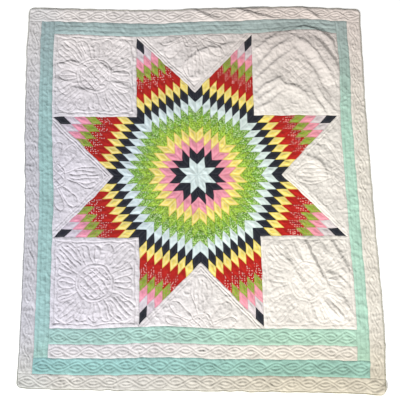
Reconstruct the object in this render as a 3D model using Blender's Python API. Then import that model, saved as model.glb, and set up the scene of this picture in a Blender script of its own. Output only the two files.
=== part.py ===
"""Star quilt blanket laid out flat, face up. Metres, +Z up, head of the quilt towards +Y.

A large eight-pointed star of small diamonds is set in white corner squares and side
triangles, framed by mint strips and a white border, and bound at the edge. Every piece
is cut HALF_GAP small on each side, so sewn neighbours stay two half gaps apart.
"""
import math

import bmesh
import bpy
from mathutils import Vector

# Real sizes of the cut pieces
DIAMOND = 0.0635                        # side of one small diamond, 2.5 in
ROWS = 8                                # diamonds along one side of a star point
POINTS = 8                              # points of the star
EDGE = ROWS * DIAMOND                   # side of one star point
NEAR = EDGE * math.sqrt(0.5)            # star centre to the near side of a corner square
TIP = NEAR + EDGE                       # star centre to the line through two tips
FLOAT_LEFT = 0.009                      # white cloth that shows beyond the tips
FLOAT_RIGHT = 0.022
FLOAT_ENDS = 0.012
MINT_WIDTH = 0.0813                     # mint strips at the top and left, 3.2 in
MINT_RIGHT_WIDTH = 0.070                # mint strip at the right, sewn with a deeper seam
FOOT_MINT_WIDTH = 0.0889                # mint strips at the foot, 3.5 in
FOOT_WHITE_WIDTH = 0.0762               # white strip at the foot, 3 in
BORDER_WIDTH = 0.0787                   # white outer border inside the binding
BORDER_RIGHT_WIDTH = 0.0838
BINDING_WIDTH = 0.007                   # binding that shows on the face
CORNER_RADIUS = 0.035                   # rounded corners of the bound edge
HALF_GAP = 0.00015
NEARBY = 0.002                          # reach within which a point counts as on an edge

# Thickness of the layers
SEAM = 0.0022                           # along a seam or a quilted line
LINE = 0.0030                           # along a lighter quilted line
PUFF = 0.0052                           # between quilted lines
BINDING_HEIGHT = 0.0036
CLOTH_UNDER_FOLD = 0.0015               # extra layer kept under a lifted fold

# Quilted echo line inside each diamond and each border cell
ECHO = 0.0085
CABLE_ECHO = 0.014
CABLE_TWIST = 0.012                     # how far a cable strand leans along its strip

# How the sewn edges meet around the field
SQUARE_STEPS = 8
TRIANGLE_STEPS = 10
LEG_STEPS = 8

# Edges of the pieced field and of the strips, from the star centre
FIELD_LEFT = TIP + FLOAT_LEFT
FIELD_RIGHT = TIP + FLOAT_RIGHT
FIELD_END = TIP + FLOAT_ENDS
MINT_LEFT = FIELD_LEFT + MINT_WIDTH
MINT_RIGHT = FIELD_RIGHT + MINT_RIGHT_WIDTH
MINT_TOP = FIELD_END + MINT_WIDTH
BORDER_LEFT = MINT_LEFT + BORDER_WIDTH
BORDER_RIGHT = MINT_RIGHT + BORDER_RIGHT_WIDTH
BORDER_TOP = MINT_TOP + BORDER_WIDTH
FOOT_1 = -FIELD_END - FOOT_MINT_WIDTH
FOOT_2 = FOOT_1 - FOOT_WHITE_WIDTH
FOOT_3 = FOOT_2 - FOOT_MINT_WIDTH
FOOT_BORDER = FOOT_3 - BORDER_WIDTH

# How the cloth lies: it is stretched along its length, skewed a little, and pulled in places
STRETCH = 1.023
SKEW = -0.021
HALF_SPAN = 16 * DIAMOND
SIDE_LEAN = 0.30 * DIAMOND              # sides, growing to the corners
END_SLOPE = -0.24 * DIAMOND             # top and foot edges, falling to the right
FOOT_SLOPE = -0.25 * DIAMOND            # extra fall of the foot edge
MIDDLE = (0.0090, -0.1002)              # middle of the laid cloth, which becomes the origin

# Local pulls, in diamonds: across, along, reach, pull across, pull along
PULLS = (
    (12.5, 10.5, 3.5, 0.30, 0.00),
    (10.5, 13.0, 3.5, 0.00, 0.35),
    (-5.0, 14.0, 4.0, 0.00, -0.20),
    (16.5, -15.0, 7.0, 0.22, 0.00),
    (-13.5, -2.0, 4.5, 0.15, 0.00),
    (-4.0, -14.0, 4.5, 0.00, 0.25),
)

# Soft folds, in diamonds: from across, from along, to across, to along, bow, half width,
# and the height of the crest in metres
FOLDS = (
    (6.2, 11.6, 13.0, 8.6, 2.6, 1.30, 0.012),
    (7.5, 7.5, 11.5, 11.5, 0.0, 2.60, 0.005),
    (10.6, 13.2, 13.7, 9.0, 0.2, 0.80, 0.008),
    (9.9, -6.0, 13.0, -12.8, 0.3, 0.80, 0.009),
    (12.3, -6.2, 13.7, -10.4, 0.2, 0.80, 0.006),
    (7.6, -7.0, 10.2, -11.2, 0.2, 0.90, 0.004),
    (10.8, 2.2, 12.4, -1.6, 0.4, 0.90, 0.006),
    (9.4, -0.4, 13.4, -4.6, 0.0, 0.80, 0.004),
    (-1.5, 10.4, 3.0, 12.8, 0.3, 0.90, 0.005),
    (4.6, 15.0, 7.4, 16.6, 0.2, 0.80, 0.005),
    (14.6, -17.6, 16.6, -19.4, 0.0, 0.90, 0.005),
)
FOLD_STEPS = 10

# Section of the binding: share of its width, height
BINDING_SECTION = (
    (0.0, 0.0),
    (0.0, SEAM),
    (0.5, BINDING_HEIGHT),
    (1.0, BINDING_HEIGHT / 2),
    (1.0, 0.0),
)
ARC_STEPS = 2                            # straight steps in half of a rounded corner
ARC_TURN = 45 / ARC_STEPS

# Round medallion quilted in a corner square: radius in diamonds, petal wave, height
MEDALLION = (
    (0.75, 0.00, PUFF),
    (1.45, 0.00, SEAM),
    (2.05, 0.06, PUFF),
    (2.65, 0.10, SEAM),
    (3.15, 0.06, PUFF),
)
PETALS = 8
SQUARE_ECHO = (0.90, LINE)              # last line, as a share of the outline

# Half medallion quilted in a side triangle: radius in steps of its long side, height
HALF_MEDALLION = (
    (1, PUFF),
    (2, SEAM),
    (3, PUFF),
)
TRIANGLE_ECHO = (0.84, LINE)

# Section of a plain mint strip, across it: share of the width, height
MINT_SECTION = (
    (0.00, SEAM),
    (0.17, PUFF),
    (0.34, LINE),
    (0.50, PUFF),
    (0.66, LINE),
    (0.83, PUFF),
    (1.00, SEAM),
)

# Colours: name, red, green, blue
COLOURS = {
    "star": (0.62, 0.10, 0.09),
    "white": (0.82, 0.80, 0.78),
    "mint": (0.36, 0.62, 0.53),
    "binding": (0.80, 0.76, 0.70),
}
CLOTH_ROUGHNESS = 0.9


def fold_height(u, v):
    """Height to which the soft folds lift the cloth at a place on it."""
    height = 0.0
    for u0, v0, u1, v1, bow, width, crest in FOLDS:
        length = math.hypot(u1 - u0, v1 - v0)
        side_u = (v0 - v1) / length * bow
        side_v = (u1 - u0) / length * bow
        near, share = 1e9, 0.0
        for step in range(FOLD_STEPS + 1):
            t = step / FOLD_STEPS
            arch = 4 * t * (1 - t)
            fold_u = u0 + (u1 - u0) * t + side_u * arch
            fold_v = v0 + (v1 - v0) * t + side_v * arch
            away = math.hypot(u / DIAMOND - fold_u, v / DIAMOND - fold_v)
            if away < near:
                near, share = away, t
        height += crest * math.exp(-(near / width) ** 2) * math.sin(math.pi * share) ** 0.5
    return height


def laid(u, v):
    """Where a place on the cut cloth comes to lie on the surface."""
    a = u / HALF_SPAN
    b = v / HALF_SPAN
    x = u + SKEW * v + SIDE_LEAN * b ** 3
    y = v + END_SLOPE * a ** 3 + FOOT_SLOPE * a * min(b, 0.0) ** 2
    for at_u, at_v, reach, pull_u, pull_v in PULLS:
        away = math.hypot(u / DIAMOND - at_u, v / DIAMOND - at_v)
        weight = DIAMOND * math.exp(-(away / reach) ** 2)
        x += pull_u * weight
        y += pull_v * weight
    return x - MIDDLE[0], STRETCH * y - MIDDLE[1]


def cloth_material(name):
    """Cotton in one flat colour."""
    material = bpy.data.materials.new(name)
    material.use_nodes = True
    shader = material.node_tree.nodes["Principled BSDF"]
    shader.inputs["Base Color"].default_value = (*COLOURS[name.split("_")[0]], 1.0)
    shader.inputs["Roughness"].default_value = CLOTH_ROUGHNESS
    shader.inputs["Metallic"].default_value = 0.0
    return material


def thicken(bm):
    """Give a flat plan a top layer, and return the faces of that layer."""
    made = bmesh.ops.extrude_face_region(bm, geom=bm.faces[:])
    top = [item for item in made["geom"] if isinstance(item, bmesh.types.BMFace)]
    for vert in {vert for face in top for vert in face.verts}:
        vert.co.z = SEAM
    return top


def finish(name, colour, bm, lifted=False):
    """Lay a piece on the surface. Under a lifted piece the lower side follows the folds."""
    lower = [face for face in bm.faces if all(vert.co.z == 0 for vert in face.verts)]
    if not lifted:
        bmesh.ops.dissolve_faces(bm, faces=lower, use_verts=True)
    for vert in bm.verts:
        u, v, height = vert.co
        fold = fold_height(u, v)
        if height > 0:
            height += fold
        elif lifted:
            height = max(0.0, fold - CLOTH_UNDER_FOLD)
        vert.co = (*laid(u, v), height)
    bmesh.ops.recalc_face_normals(bm, faces=bm.faces[:])
    mesh = bpy.data.meshes.new(name)
    bm.to_mesh(mesh)
    bm.free()
    mesh.materials.append(cloth_material(colour + "_" + name))
    piece = bpy.data.objects.new(name, mesh)
    bpy.context.collection.objects.link(piece)


def star_point(number):
    """One star point: a parallelogram of small diamonds, each puffed inside its echo line."""
    bm = bmesh.new()
    cut = HALF_GAP / math.sin(math.pi / 4)
    first = math.radians(45 * number)
    second = first + math.radians(45)
    bmesh.ops.create_grid(bm, x_segments=ROWS, y_segments=ROWS, size=0.5)
    for vert in bm.verts:
        a = cut + (vert.co.x + 0.5) * (EDGE - 2 * cut)
        b = cut + (vert.co.y + 0.5) * (EDGE - 2 * cut)
        vert.co.x = a * math.cos(first) + b * math.cos(second)
        vert.co.y = a * math.sin(first) + b * math.sin(second)
    top = thicken(bm)
    bmesh.ops.recalc_face_normals(bm, faces=bm.faces[:])
    bmesh.ops.inset_individual(bm, faces=top, thickness=ECHO)
    for vert in {vert for face in top for vert in face.verts}:
        vert.co.z = PUFF
    finish("star_point_%d" % (number + 1), "star", bm)


def ring_plan(bm, centre, outline, rings, closed):
    """Join rings of points around a centre, and the outline, into one flat plan.

    Each ring is a list of (u, v, height). An outline point with a height of None has no
    partner in the ring inside it.
    """
    middle = bm.verts.new((*centre, 0.0))
    heights = {middle: PUFF}
    inner = None
    for ring in [*rings, outline]:
        verts = [bm.verts.new((u, v, 0.0)) for u, v, height in ring]
        for vert, (u, v, height) in zip(verts, ring):
            heights[vert] = SEAM if height is None else height
        partners = [index for index, point in enumerate(ring) if point[2] is not None]
        if closed:
            partners.append(len(ring))
        for spot in range(len(partners) - 1):
            first, last = partners[spot], partners[spot + 1]
            outer = [verts[index % len(ring)] for index in range(first, last + 1)]
            if inner is None:
                bm.faces.new([middle, *outer])
            else:
                bm.faces.new([inner[spot], *outer, inner[(spot + 1) % len(inner)]])
        inner = [verts[index] for index in partners if index < len(ring)]
    bmesh.ops.recalc_face_normals(bm, faces=bm.faces[:])
    return heights


def raise_rings(bm, heights):
    """Thicken a ring plan and raise its quilted relief."""
    relief = {(vert.co.x, vert.co.y): height for vert, height in heights.items()}
    for vert in {vert for face in thicken(bm) for vert in face.verts}:
        vert.co.z = relief[(vert.co.x, vert.co.y)]


def corner_square(number, across, along, lifted):
    """White square between two star points, with a round medallion."""
    bm = bmesh.new()
    low = NEAR + HALF_GAP
    wide = (FIELD_RIGHT if across > 0 else FIELD_LEFT) - HALF_GAP - low
    long = FIELD_END - HALF_GAP - low
    mid_u = low + wide / 2
    mid_v = low + long / 2
    walk = []
    for turn in range(4):
        for step in range(SQUARE_STEPS):
            du, dv = step / SQUARE_STEPS - 0.5, -0.5
            for quarter in range(turn):
                du, dv = -dv, du
            walk.append((du * wide, dv * long))
    rings = []
    for radius, wave, height in MEDALLION:
        ring = []
        for du, dv in walk:
            angle = math.atan2(dv, du)
            reach = radius * DIAMOND * (1 + wave * math.cos(PETALS * angle))
            around = (mid_u + reach * math.cos(angle), mid_v + reach * math.sin(angle))
            ring.append((*around, height))
        rings.append(ring)
    share, height = SQUARE_ECHO
    rings.append([(mid_u + du * share, mid_v + dv * share, height) for du, dv in walk])
    outline = [(mid_u + du, mid_v + dv, SEAM) for du, dv in walk]
    rings = [[(across * u, along * v, height) for u, v, height in ring] for ring in rings]
    outline = [(across * u, along * v, height) for u, v, height in outline]
    heights = ring_plan(bm, (across * mid_u, along * mid_v), outline, rings, True)
    raise_rings(bm, heights)
    finish("corner_square_%d" % number, "white", bm, lifted)


def side_triangle(number, turns, field, lifted):
    """White triangle at a side of the field, with half a medallion on its long side."""
    bm = bmesh.new()
    apex = EDGE + HALF_GAP * math.sqrt(2)
    base = field - HALF_GAP
    half = NEAR - HALF_GAP
    tip = TIP + HALF_GAP * (math.sqrt(2) - 1)
    leg = []
    for step in range(1, LEG_STEPS + 1):
        share = step / LEG_STEPS
        leg.append((tip + (apex - tip) * share, half * (1 - share), SEAM))
    outline = [(base, half, SEAM), (tip, half, None), *leg]
    outline += [(u, -v, height) for u, v, height in reversed(leg[:-1])]
    outline += [(tip, -half, None), (base, -half, SEAM)]
    partners = [point for point in outline if point[2] is not None]
    rings = []
    for steps, height in HALF_MEDALLION:
        radius = steps * half / (TRIANGLE_STEPS / 2)
        ring = []
        for u, v, seam in partners:
            angle = math.atan2(v, u - base)
            ring.append((base + radius * math.cos(angle), radius * math.sin(angle), height))
        ring[0] = (base, radius, height)
        ring[-1] = (base, -radius, height)
        rings.append(ring)
    share, height = TRIANGLE_ECHO
    rings.append([(base + (u - base) * share, v * share, height) for u, v, seam in partners])
    turned = []
    for ring in [*rings, outline]:
        for turn in range(turns):
            ring = [(-v, u, height) for u, v, height in ring]
        turned.append(ring)
    centre = (base, 0.0)
    for turn in range(turns):
        centre = (-centre[1], centre[0])
    heights = ring_plan(bm, centre, turned[-1], turned[:-1], False)
    raise_rings(bm, heights)
    finish("side_triangle_%d" % number, "white", bm, lifted)


def field_stations(low, high):
    """Where a sewn edge of the field has its points, from end to end."""
    places = [NEAR * (2 * step / TRIANGLE_STEPS - 1) for step in range(TRIANGLE_STEPS + 1)]
    for step in range(1, SQUARE_STEPS + 1):
        places.insert(0, -NEAR - (low - NEAR) * step / SQUARE_STEPS)
        places.append(NEAR + (high - NEAR) * step / SQUARE_STEPS)
    return places


def strip_plan(along, across):
    """Flat grid with points at the given places, cut a half gap small on every side."""
    bm = bmesh.new()
    rows = []
    for low, high, places in ((along[0], along[-1], along), (across[0], across[-1], across)):
        shrink = 1 - 2 * HALF_GAP / (high - low)
        mid = (low + high) / 2
        rows.append([mid + (place - mid) * shrink for place in places])
    verts = [[bm.verts.new((a, c, 0.0)) for a in rows[0]] for c in rows[1]]
    for low, high in zip(verts, verts[1:]):
        for index in range(len(low) - 1):
            bm.faces.new((low[index], low[index + 1], high[index + 1], high[index]))
    return bm


def turn_upright(bm):
    """Swap the axes of a plan, for a strip that runs along the quilt."""
    for vert in bm.verts:
        vert.co.x, vert.co.y = vert.co.y, vert.co.x


def mint_strip(name, along, low, high, upright):
    """Plain mint strip, quilted in lines along its length."""
    width = high - low
    bm = strip_plan(along, [low + share * width for share, height in MINT_SECTION])
    relief = {}
    for vert in bm.verts:
        share = (vert.co.y - low) / width
        row = min(MINT_SECTION, key=lambda row: abs(row[0] - share))
        at_end = min(vert.co.x - along[0], along[-1] - vert.co.x) < NEARBY
        relief[(vert.co.x, vert.co.y)] = SEAM if at_end else row[1]
    for vert in {vert for face in thicken(bm) for vert in face.verts}:
        vert.co.z = relief[(vert.co.x, vert.co.y)]
    if upright:
        turn_upright(bm)
    finish(name, "mint", bm)


def cable_strip(name, colour, along, low, high, upright, rounded=None):
    """Strip quilted with a chain of leaning strands, one in each cell."""
    bm = strip_plan(along, (low, high))
    thicken(bm)
    bmesh.ops.recalc_face_normals(bm, faces=bm.faces[:])
    if rounded is not None:
        corners = []
        for edge in bm.edges:
            mid = sum((vert.co for vert in edge.verts), Vector()) / 2
            at_end = min(mid.x - along[0], along[-1] - mid.x) < NEARBY
            if at_end and abs(mid.y - rounded) < NEARBY and mid.z not in (0.0, SEAM):
                corners.append(edge)
        bmesh.ops.bevel(
            bm, geom=corners, offset=CORNER_RADIUS - BINDING_WIDTH, segments=2 * ARC_STEPS,
            profile=0.5, affect="EDGES", material=-1)
    top = [face for face in bm.faces if all(vert.co.z > 0 for vert in face.verts)]
    bmesh.ops.inset_individual(bm, faces=top, thickness=CABLE_ECHO)
    for face in top:
        middle = face.calc_center_median()
        for vert in face.verts:
            vert.co.z = PUFF
            vert.co.x += CABLE_TWIST if vert.co.y > middle.y else -CABLE_TWIST
    if upright:
        turn_upright(bm)
    finish(name, colour, bm)


def binding_side(name, facing, start, end, places):
    """Folded binding along one side, with half of the rounded corner at each end."""
    radius = CORNER_RADIUS - BINDING_WIDTH
    mitre = math.degrees(HALF_GAP / radius)
    frames = [(start, facing + 45 - mitre)]
    for step in range(1, ARC_STEPS + 1):
        frames.append((start, facing + 45 - step * ARC_TURN))
    for place in places:
        frames.append(((place, start[1]) if start[1] == end[1] else (start[0], place), facing))
    frames.append((end, facing))
    for step in range(1, ARC_STEPS + 1):
        turn = step * ARC_TURN - (mitre if step == ARC_STEPS else 0)
        frames.append((end, facing - turn))
    bm = bmesh.new()
    previous = None
    for base, angle in frames:
        out_u, out_v = math.cos(math.radians(angle)), math.sin(math.radians(angle))
        loop = []
        for share, height in BINDING_SECTION:
            reach = radius + HALF_GAP + share * (BINDING_WIDTH - HALF_GAP)
            loop.append(bm.verts.new((base[0] + reach * out_u, base[1] + reach * out_v, height)))
        if previous is None:
            bm.faces.new(loop)
        else:
            for index in range(len(loop)):
                after = (index + 1) % len(loop)
                bm.faces.new((previous[index], previous[after], loop[after], loop[index]))
        previous = loop
    bm.faces.new(previous)
    finish("binding_" + name, "binding", bm)


def build_quilt():
    """Make every piece."""
    for old in list(bpy.data.objects):
        bpy.data.objects.remove(old, do_unlink=True)

    for number in range(POINTS):
        star_point(number)
    corners = ((1, 1, True), (-1, 1, False), (-1, -1, False), (1, -1, True))
    for number, (across, along, lifted) in enumerate(corners):
        corner_square(number + 1, across, along, lifted)
    sides = ((FIELD_RIGHT, True), (FIELD_END, True), (FIELD_LEFT, False), (FIELD_END, False))
    for turns, (field, lifted) in enumerate(sides):
        side_triangle(turns + 1, turns, field, lifted)

    width = field_stations(FIELD_LEFT, FIELD_RIGHT)
    length = field_stations(FIELD_END, FIELD_END)
    framed = [-MINT_LEFT, *width, MINT_RIGHT]
    full = [-BORDER_LEFT, *framed, BORDER_RIGHT]
    side = [FOOT_2, FOOT_1, *length, MINT_TOP]
    tall = [FOOT_3, *side]
    mint_strip("mint_top", width, FIELD_END, MINT_TOP, False)
    mint_strip("mint_left", side, -MINT_LEFT, -FIELD_LEFT, True)
    mint_strip("mint_right", side, FIELD_RIGHT, MINT_RIGHT, True)
    cable_strip("mint_foot_upper", "mint", width, FOOT_1, -FIELD_END, False)
    cable_strip("white_foot_strip", "white", width, FOOT_2, FOOT_1, False)
    cable_strip("mint_foot_lower", "mint", framed, FOOT_3, FOOT_2, False)
    cable_strip("border_left", "white", tall, -BORDER_LEFT, -MINT_LEFT, True)
    cable_strip("border_right", "white", tall, MINT_RIGHT, BORDER_RIGHT, True)
    cable_strip("border_top", "white", full, MINT_TOP, BORDER_TOP, False, BORDER_TOP)
    cable_strip("border_foot", "white", full, FOOT_BORDER, FOOT_3, False, FOOT_BORDER)

    round_in = CORNER_RADIUS - BINDING_WIDTH
    left, right = -BORDER_LEFT + round_in, BORDER_RIGHT - round_in
    head, foot = BORDER_TOP - round_in, FOOT_BORDER + round_in
    binding_side("top", 90, (left, head), (right, head), framed)
    binding_side("right", 0, (right, head), (right, foot), tall[::-1])
    binding_side("foot", -90, (right, foot), (left, foot), framed[::-1])
    binding_side("left", 180, (left, foot), (left, head), tall)


build_quilt()
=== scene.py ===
"""Star quilt blanket laid flat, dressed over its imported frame. Metres, +Z up.

The sections follow the making of the quilt: the pieced star, the white squares and
triangles, the mint strips, the white borders, the binding, then the floor, light and camera.
A place on the cloth is (u, v), measured on the cut cloth from the middle of the star.
"""
import math

import bmesh
import bpy
import numpy as np
from mathutils import Matrix, Vector, noise


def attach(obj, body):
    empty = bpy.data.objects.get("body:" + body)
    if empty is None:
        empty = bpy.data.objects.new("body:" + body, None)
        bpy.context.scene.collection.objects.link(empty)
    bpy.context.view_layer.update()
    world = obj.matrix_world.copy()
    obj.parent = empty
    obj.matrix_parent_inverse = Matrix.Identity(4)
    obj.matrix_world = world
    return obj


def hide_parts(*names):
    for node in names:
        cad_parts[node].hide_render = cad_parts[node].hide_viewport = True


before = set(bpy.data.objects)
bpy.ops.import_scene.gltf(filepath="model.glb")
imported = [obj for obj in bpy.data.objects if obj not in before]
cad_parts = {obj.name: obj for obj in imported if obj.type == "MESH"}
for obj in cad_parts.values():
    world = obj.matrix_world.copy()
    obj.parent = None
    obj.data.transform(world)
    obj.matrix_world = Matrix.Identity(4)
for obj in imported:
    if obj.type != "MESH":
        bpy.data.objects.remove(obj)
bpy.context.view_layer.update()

# The star: eight points, each pieced from 64 small diamonds of plain and printed cotton.
# The diamonds are sewn in rows, pressed, and quilted with an echo line inside each one.
# Every later piece is laid on the surface by the functions of this section.
DIAMOND = 0.0635                        # side of a small diamond
ROWS = 8
POINTS = 8
EDGE = ROWS * DIAMOND
SLANT = math.radians(45)                # sharp corner of a diamond, and one point of the star
HALF_GAP = 0.00015                      # half of the gap between two sewn pieces
CELL_STEPS = 12                         # mesh steps along one small diamond

# Thickness of the layers: along a seam of the star or of another piece, between quilted
# lines, and where a fold thins it
STAR_SEAM = 0.0050
SEAM = 0.0042
PUFF = 0.0072
THIN = 0.0009
CLOTH_UNDER_FOLD = 0.0015

# Shape of the cloth beside a seam and beside a quilted line: how far it is drawn down and
# how far that reaches, in metres
SEAM_REACH = 0.0060
STITCH = (0.0024, 0.0038)
STITCH_SIDES = (0.0010, 0.0100)
STITCH_SHADE = 0.0034                   # half width of the painted shade along the stitching
SEAM_DARK = 0.6                         # how dark the painted shade along a seam and along the stitching is at its deepest
STITCH_DARK = 0.8

# How the cloth lies, as in the frame
STRETCH = 1.023                         # along the quilt, beside its width
SKEW = -0.021
HALF_SPAN = 16 * DIAMOND                # where the leans and slopes below are reached
SIDE_LEAN = 0.30 * DIAMOND
END_SLOPE = -0.24 * DIAMOND
FOOT_SLOPE = -0.25 * DIAMOND
MIDDLE = (0.0090, -0.1002)              # middle of the quilt, from that of the star

# Local pulls, in diamonds: across, along, reach, pull across, pull along
PULLS = (
    (12.5, 10.5, 3.5, 0.30, 0.00),
    (10.5, 13.0, 3.5, 0.00, 0.35),
    (-5.0, 14.0, 4.0, 0.00, -0.20),
    (16.5, -15.0, 7.0, 0.22, 0.00),
    (-13.5, -2.0, 4.5, 0.15, 0.00),
    (-4.0, -14.0, 4.5, 0.00, 0.25),
)

# Soft folds, in diamonds: from across, from along, to across, to along, bow, half width,
# and the height of the crest in metres
FOLDS = (
    (6.2, 11.6, 13.0, 8.6, 2.6, 1.30, 0.012),
    (7.5, 7.5, 11.5, 11.5, 0.0, 2.60, 0.005),
    (10.6, 13.2, 13.7, 9.0, 0.2, 0.80, 0.008),
    (9.9, -6.0, 13.0, -12.8, 0.3, 0.80, 0.009),
    (12.3, -6.2, 13.7, -10.4, 0.2, 0.80, 0.006),
    (7.6, -7.0, 10.2, -11.2, 0.2, 0.90, 0.004),
    (10.8, 2.2, 12.4, -1.6, 0.4, 0.90, 0.006),
    (9.4, -0.4, 13.4, -4.6, 0.0, 0.80, 0.004),
    (-1.5, 10.4, 3.0, 12.8, 0.3, 0.90, 0.005),
    (4.6, 15.0, 7.4, 16.6, 0.2, 0.80, 0.005),
    (14.6, -17.6, 16.6, -19.4, 0.0, 0.90, 0.005),
)
FOLD_STEPS = 10
FOLD_REACH = 3                          # where a fold or a crease ends, in widths

# Creases on the folds: how far the cloth slopes up to the crease, in diamonds, the height
# of its crest in metres, and the places that it runs through, in diamonds. The cloth drops
# steeply on the right of that run.
CREASES = (
    (0.50, 0.0105, (13.4, 9.0), (12.6, 10.3), (11.8, 11.5), (10.7, 12.7), (9.7, 13.3)),
    (0.60, 0.0100, (14.0, 9.9), (13.6, 10.8), (12.9, 11.7), (12.1, 12.8), (11.5, 13.3)),
    (0.60, 0.0105, (13.8, 11.6), (13.5, 12.9), (12.4, 13.8), (10.7, 14.3), (9.5, 13.8)),
    (0.50, 0.0090, (8.4, 13.8), (7.6, 13.3), (6.7, 12.7), (5.7, 12.0)),
    (0.50, 0.0100, (9.4, 13.0), (8.6, 12.6), (7.7, 12.1), (6.9, 11.3), (5.7, 9.8)),
    (0.45, 0.0090, (9.2, 11.7), (7.9, 10.9), (6.6, 9.8), (5.7, 9.0)),
    (0.45, 0.0080, (8.6, 9.5), (7.9, 9.2), (6.9, 8.8), (5.8, 7.8)),
    (0.40, 0.0065, (8.3, 8.8), (7.2, 8.0), (5.9, 7.1)),
    (0.40, 0.0070, (8.7, 8.2), (7.1, 6.9), (5.8, 6.3)),
    (0.45, 0.0080, (11.4, 6.9), (10.6, 7.9), (9.8, 8.5), (8.7, 8.7), (8.1, 9.4)),
    (0.50, 0.0085, (13.4, 7.0), (12.2, 8.5), (11.5, 9.9), (10.6, 11.0), (9.7, 12.1)),
    (0.45, 0.0075, (12.8, 5.7), (11.9, 6.9), (10.9, 8.4)),
    (0.45, 0.0070, (13.4, 6.3), (12.4, 7.4), (11.4, 9.0)),
    (0.35, 0.0050, (10.9, 9.6), (10.2, 10.6), (9.3, 11.3)),
    (0.45, 0.0060, (14.0, -10.6), (13.4, -9.9), (12.6, -9.1), (11.6, -8.7)),
    (0.45, 0.0060, (13.4, -13.2), (12.7, -12.5), (11.9, -11.7), (11.2, -11.1)),
    (0.55, 0.0065, (16.7, -18.0), (16.1, -18.6), (15.3, -19.3)),
    (0.90, 0.0120, (12.1, -10.8), (11.4, -9.6), (10.7, -8.2), (10.1, -6.8), (9.6, -5.4)),
    (0.60, 0.0085, (13.9, -9.3), (13.3, -8.0), (12.8, -7.0), (12.1, -5.7)),
    (0.50, 0.0060, (12.2, -7.7), (11.8, -7.0), (11.3, -6.3)),
    (0.50, 0.0060, (13.7, -9.4), (13.1, -8.7), (12.4, -7.6)),
    (0.45, 0.0055, (12.4, -9.4), (12.0, -9.0), (11.5, -8.7)),
    (0.50, 0.0055, (13.6, -10.6), (12.9, -10.1), (12.3, -9.5), (11.3, -9.3)),
    (0.50, 0.0060, (13.5, -12.0), (12.8, -10.9), (12.1, -10.3)),
    (0.50, 0.0055, (12.6, -12.9), (11.9, -12.2), (11.2, -11.3)),
    (0.50, 0.0054, (10.0, -10.8), (9.1, -9.4), (8.5, -8.3), (7.7, -7.0)),
    (0.45, 0.0054, (9.7, -8.3), (9.0, -7.2), (8.6, -6.2)),
    (0.60, 0.0053, (12.4, -1.0), (12.3, 0.1), (11.8, 1.2), (10.8, 1.8), (10.0, 1.9)),
    (0.50, 0.0034, (12.9, 1.9), (12.2, 2.6), (11.2, 3.0)),
    (0.45, 0.0030, (13.5, 2.2), (12.9, 3.1), (12.2, 3.6)),
    (0.40, 0.0034, (13.7, -4.9), (11.0, -2.0), (8.8, 0.3)),
    (0.60, 0.0088, (2.8, 12.3), (1.5, 12.5), (0.2, 12.0), (-1.2, 10.8)),
    (0.55, 0.0068, (-1.6, 13.5), (-2.4, 13.1), (-3.1, 12.5)),
    (0.50, 0.0054, (0.6, 10.2), (0.0, 9.8), (-0.5, 9.3)),
    (0.50, 0.0061, (4.2, 13.0), (3.0, 12.8), (2.2, 12.5)),
    (0.60, 0.0095, (7.8, 15.4), (6.4, 15.7), (5.3, 16.0), (4.2, 16.5)),
    (0.50, 0.0068, (12.6, 15.2), (11.8, 15.7), (11.0, 16.4)),
    (0.50, 0.0068, (2.6, 15.3), (1.2, 15.8), (0.0, 16.4)),
    (0.50, 0.0068, (-11.0, 10.8), (-12.2, 11.2), (-13.6, 10.7)),
    (0.45, 0.0061, (-9.6, 8.4), (-10.8, 8.3), (-11.9, 8.6)),
    (0.45, 0.0061, (-6.0, 8.3), (-7.2, 9.0), (-8.2, 9.1)),
    (0.45, 0.0054, (-6.6, 10.0), (-7.8, 10.1), (-8.6, 10.6), (-9.4, 11.4)),
    (0.45, 0.0054, (-12.0, 9.3), (-12.9, 9.2), (-13.6, 9.6)),
)
STEEP = 0.17                            # reach of the steep side, in diamonds
CREASE_LOSS = 19.0                      # part of a crease lost for each metre of fold below it
CREST_BACK = 0.12                       # crest, back from the steepest part
RUN_OUT = 0.02                          # share of its length that a crease runs on to fade out

# Small waves of washed cotton: size of a wave, height, and whether its crests are sharp
PUCKERS = ((0.011, 0.0013, False), (0.034, 0.0022, True), (0.130, 0.0020, False))
SEAM_PUCKER = 0.5                       # share of the waves that is left at a seam

# Seams drawn out of line by the quilting: how far, and over what length, in metres
SWAY = 0.0042
SWAY_SIZE = 0.048

# Levels at which the noise is read, so that waves, seams and quilted lines stray apart
PUCKER_LEVEL = 0.5
SWAY_LEVEL = 3.5
WANDER_LEVEL = 7.5
CROSS_LEVEL = 5.0                       # from the shift across to the shift along


def near_line(places, line, reach):
    """Places within reach of a line of points. For each, its distance to the line, how far
    along the line that is, and its side: 1 on the right of the run and -1 on the left."""
    line = np.array(line, dtype=float)
    inside = (places > line.min(axis=0) - reach) & (places < line.max(axis=0) + reach)
    within = np.flatnonzero(inside.all(axis=1))
    near, share, side = np.full((3, len(within)), [[np.inf], [0.0], [0.0]])
    for index in range(len(line) - 1):
        run = line[index + 1] - line[index]
        offset = places[within] - line[index]
        along = np.clip(offset @ run / (run @ run), 0.0, 1.0)
        away = np.hypot(*(offset - along[:, None] * run).T)
        closer = away < near
        near[closer] = away[closer]
        share[closer] = (index + along[closer]) / (len(line) - 1)
        side[closer] = np.sign(offset[closer, 0] * run[1] - offset[closer, 1] * run[0])
    return within, near, share, side


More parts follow.
